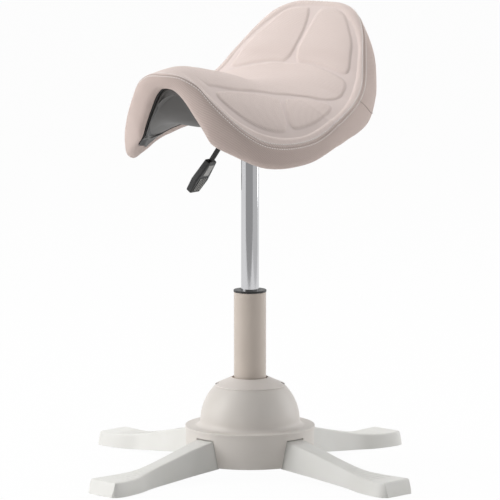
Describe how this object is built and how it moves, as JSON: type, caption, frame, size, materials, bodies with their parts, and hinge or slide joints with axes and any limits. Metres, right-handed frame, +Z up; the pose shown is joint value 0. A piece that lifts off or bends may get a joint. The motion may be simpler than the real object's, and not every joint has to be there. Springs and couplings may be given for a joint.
{
  "type": "balance stool",
  "caption": "Balance stool with a channelled saddle seat, a gas lift column with a side lever, and a swaying joint in a domed base on four flared legs",
  "frame": {"origin": "On the floor under the middle of the column, level with the underside of the four foot pads.", "axes": "+Z is up. The sitter faces -Y and has their left hand at +X. The four legs stand 80 degrees from +X and every 90 degrees from there."},
  "size_m": [0.6382, 0.6382, 0.7193],
  "materials": {
    "seat_fabric": "woven",
    "black_plastic": "matte",
    "pan_plastic": "matte",
    "base_plastic": "satin",
    "cap_plastic": "satin",
    "leg_plastic": "satin",
    "tube_paint": "satin",
    "chrome": "polished",
    "black_steel": "matte",
    "zinc_steel": "zinc plated",
    "black_rubber": "matte"
  },
  "bodies": {
    "base": {"base_hub": "base_plastic", "leg_front": "leg_plastic", "leg_right": "leg_plastic", "leg_rear": "leg_plastic", "leg_left": "leg_plastic", "foot_pad_front": "black_rubber", "foot_pad_right": "black_rubber", "foot_pad_rear": "black_rubber", "foot_pad_left": "black_rubber", "leg_bolts": "zinc_steel", "bottom_plate": "zinc_steel", "plate_screws": "zinc_steel", "dome_screws": "zinc_steel", "buffer_cup": "zinc_steel", "sway_buffer": "black_rubber", "base_dome": "base_plastic", "dome_cap": "cap_plastic", "sway_pins": "zinc_steel"},
    "gimbal": {"gimbal_ring": "zinc_steel"},
    "column": {"column_socket": "zinc_steel", "cross_pins": "zinc_steel", "lift_tube": "tube_paint", "guide_bush": "black_plastic", "lower_washer": "zinc_steel"},
    "piston": {"piston_rod": "zinc_steel", "piston": "zinc_steel", "rod_clip": "zinc_steel", "upper_washer": "zinc_steel", "thrust_bearing": "zinc_steel", "bump_stop": "black_rubber"},
    "seat": {"gas_cylinder": "chrome", "cylinder_gland": "zinc_steel", "seat_plate": "black_steel", "mechanism_case": "black_steel", "taper_sleeve": "black_steel", "lever_pin": "zinc_steel", "seat_screws": "zinc_steel", "seat_cushion": "seat_fabric", "seat_shell": "black_plastic", "seat_pan": "pan_plastic"},
    "lever": {"lever_arm": "zinc_steel", "lever_rod": "black_steel", "lever_paddle": "black_plastic"},
    "valve": {"valve_pin": "zinc_steel"}
  },
  "joints": [
    {"name": "sway_first", "type": "hinge", "parent": "base", "child": "gimbal", "pos_m": [0, 0, 0.124], "axis": [0.8192, 0.5736, 0], "range_deg": [-5, 5], "stiffness_Nm_per_rad": 400, "deforming": ["sway_buffer"]},
    {"name": "sway_second", "type": "hinge", "parent": "gimbal", "child": "column", "pos_m": [0, 0, 0.124], "axis": [-0.5736, 0.8192, 0], "range_deg": [-5, 5], "stiffness_Nm_per_rad": 400, "deforming": ["sway_buffer"]},
    {"name": "seat_turn", "type": "hinge", "parent": "column", "child": "piston", "pos_m": [0, 0, 0.05], "axis": [0, 0, 1], "continuous": true},
    {"name": "seat_lift", "type": "slide", "parent": "piston", "child": "seat", "axis": [0, 0, 1], "range_m": [-0.14, 0.01]},
    {"name": "lever_lift", "type": "hinge", "parent": "seat", "child": "lever", "pos_m": [-0.02, 0.01, 0.5433], "axis": [0, 1, 0], "range_deg": [0, 7], "stiffness_Nm_per_rad": 2},
    {"name": "valve_press", "type": "slide", "parent": "seat", "child": "valve", "axis": [0, 0, -1], "range_m": [0, 0.003]}
  ],
  "couplings": [
    {"joint": "valve_press", "follows": "lever_lift", "m_per_rad": 0.0225}
  ]
}
